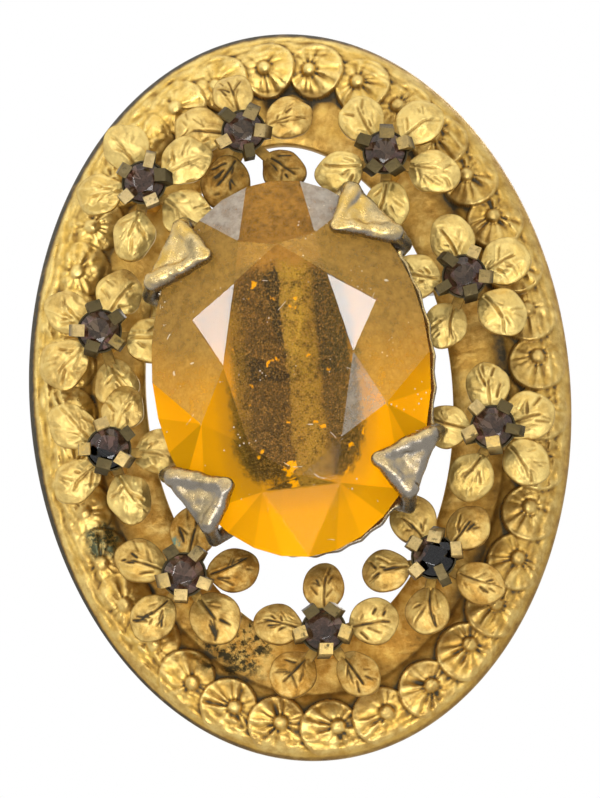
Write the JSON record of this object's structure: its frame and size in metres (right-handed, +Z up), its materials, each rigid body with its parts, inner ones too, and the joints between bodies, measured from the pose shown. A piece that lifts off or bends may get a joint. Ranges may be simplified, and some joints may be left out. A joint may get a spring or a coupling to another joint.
{
  "type": "brooch",
  "caption": "Upright oval costume brooch: claw-set faceted amber stone, wreath of leaf flowers with small dark stones, scalloped gilt border, hinged pin and roll-over catch.",
  "frame": {"origin": "middle of the pin stem's plain shank, on its axis", "axes": "+X along the stem from the hinge to the point, +Y to the back, +Z up along the brooch's long axis"},
  "size_m": [0.0356, 0.0149, 0.049],
  "materials": {
    "gilt_border": "satin antique gilt, worn, dark in the recesses",
    "gilt_leaves": "satin antique gilt with copper and tarnish patches",
    "gilt_setting": "worn gilt over grey metal",
    "amber_glass": "faceted, polished, foiled back with losses",
    "smoky_glass": "faceted, polished",
    "pin_steel": "drawn wire, satin",
    "back_fittings": "satin, tarnished"
  },
  "bodies": {
    "brooch": {"border": "gilt_border", "centre_setting": "gilt_setting", "centre_stone": "amber_glass", "leaves_top": "gilt_leaves", "leaves_top_right": "gilt_leaves", "leaves_upper_right": "gilt_leaves", "leaves_right": "gilt_leaves", "leaves_lower_right": "gilt_leaves", "leaves_bottom": "gilt_leaves", "leaves_lower_left": "gilt_leaves", "leaves_left": "gilt_leaves", "leaves_upper_left": "gilt_leaves", "leaves_top_left": "gilt_leaves", "cup_top": "gilt_setting", "cup_top_right": "gilt_setting", "cup_upper_right": "gilt_setting", "cup_right": "gilt_setting", "cup_lower_right": "gilt_setting", "cup_bottom": "gilt_setting", "cup_lower_left": "gilt_setting", "cup_left": "gilt_setting", "cup_upper_left": "gilt_setting", "cup_top_left": "gilt_setting", "chaton_top": "smoky_glass", "chaton_top_right": "smoky_glass", "chaton_upper_right": "smoky_glass", "chaton_right": "smoky_glass", "chaton_lower_right": "smoky_glass", "chaton_bottom": "smoky_glass", "chaton_lower_left": "smoky_glass", "chaton_left": "smoky_glass", "chaton_upper_left": "smoky_glass", "chaton_top_left": "smoky_glass", "back_bar": "back_fittings", "hinge_bracket": "back_fittings", "hinge_rivet": "back_fittings", "catch_body": "back_fittings"},
    "pin": {"pin_stem": "pin_steel"},
    "sleeve": {"catch_sleeve": "back_fittings"}
  },
  "joints": [
    {"name": "pin_hinge", "type": "hinge", "parent": "brooch", "child": "pin", "pos_m": [-0.01194, 0, 0], "axis": [0, 0, 1], "range_deg": [0, 110]},
    {"name": "catch_roll", "type": "hinge", "parent": "brooch", "child": "sleeve", "pos_m": [0.0124, 0, 0], "axis": [1, 0, 0], "range_deg": [0, 110]}
  ]
}
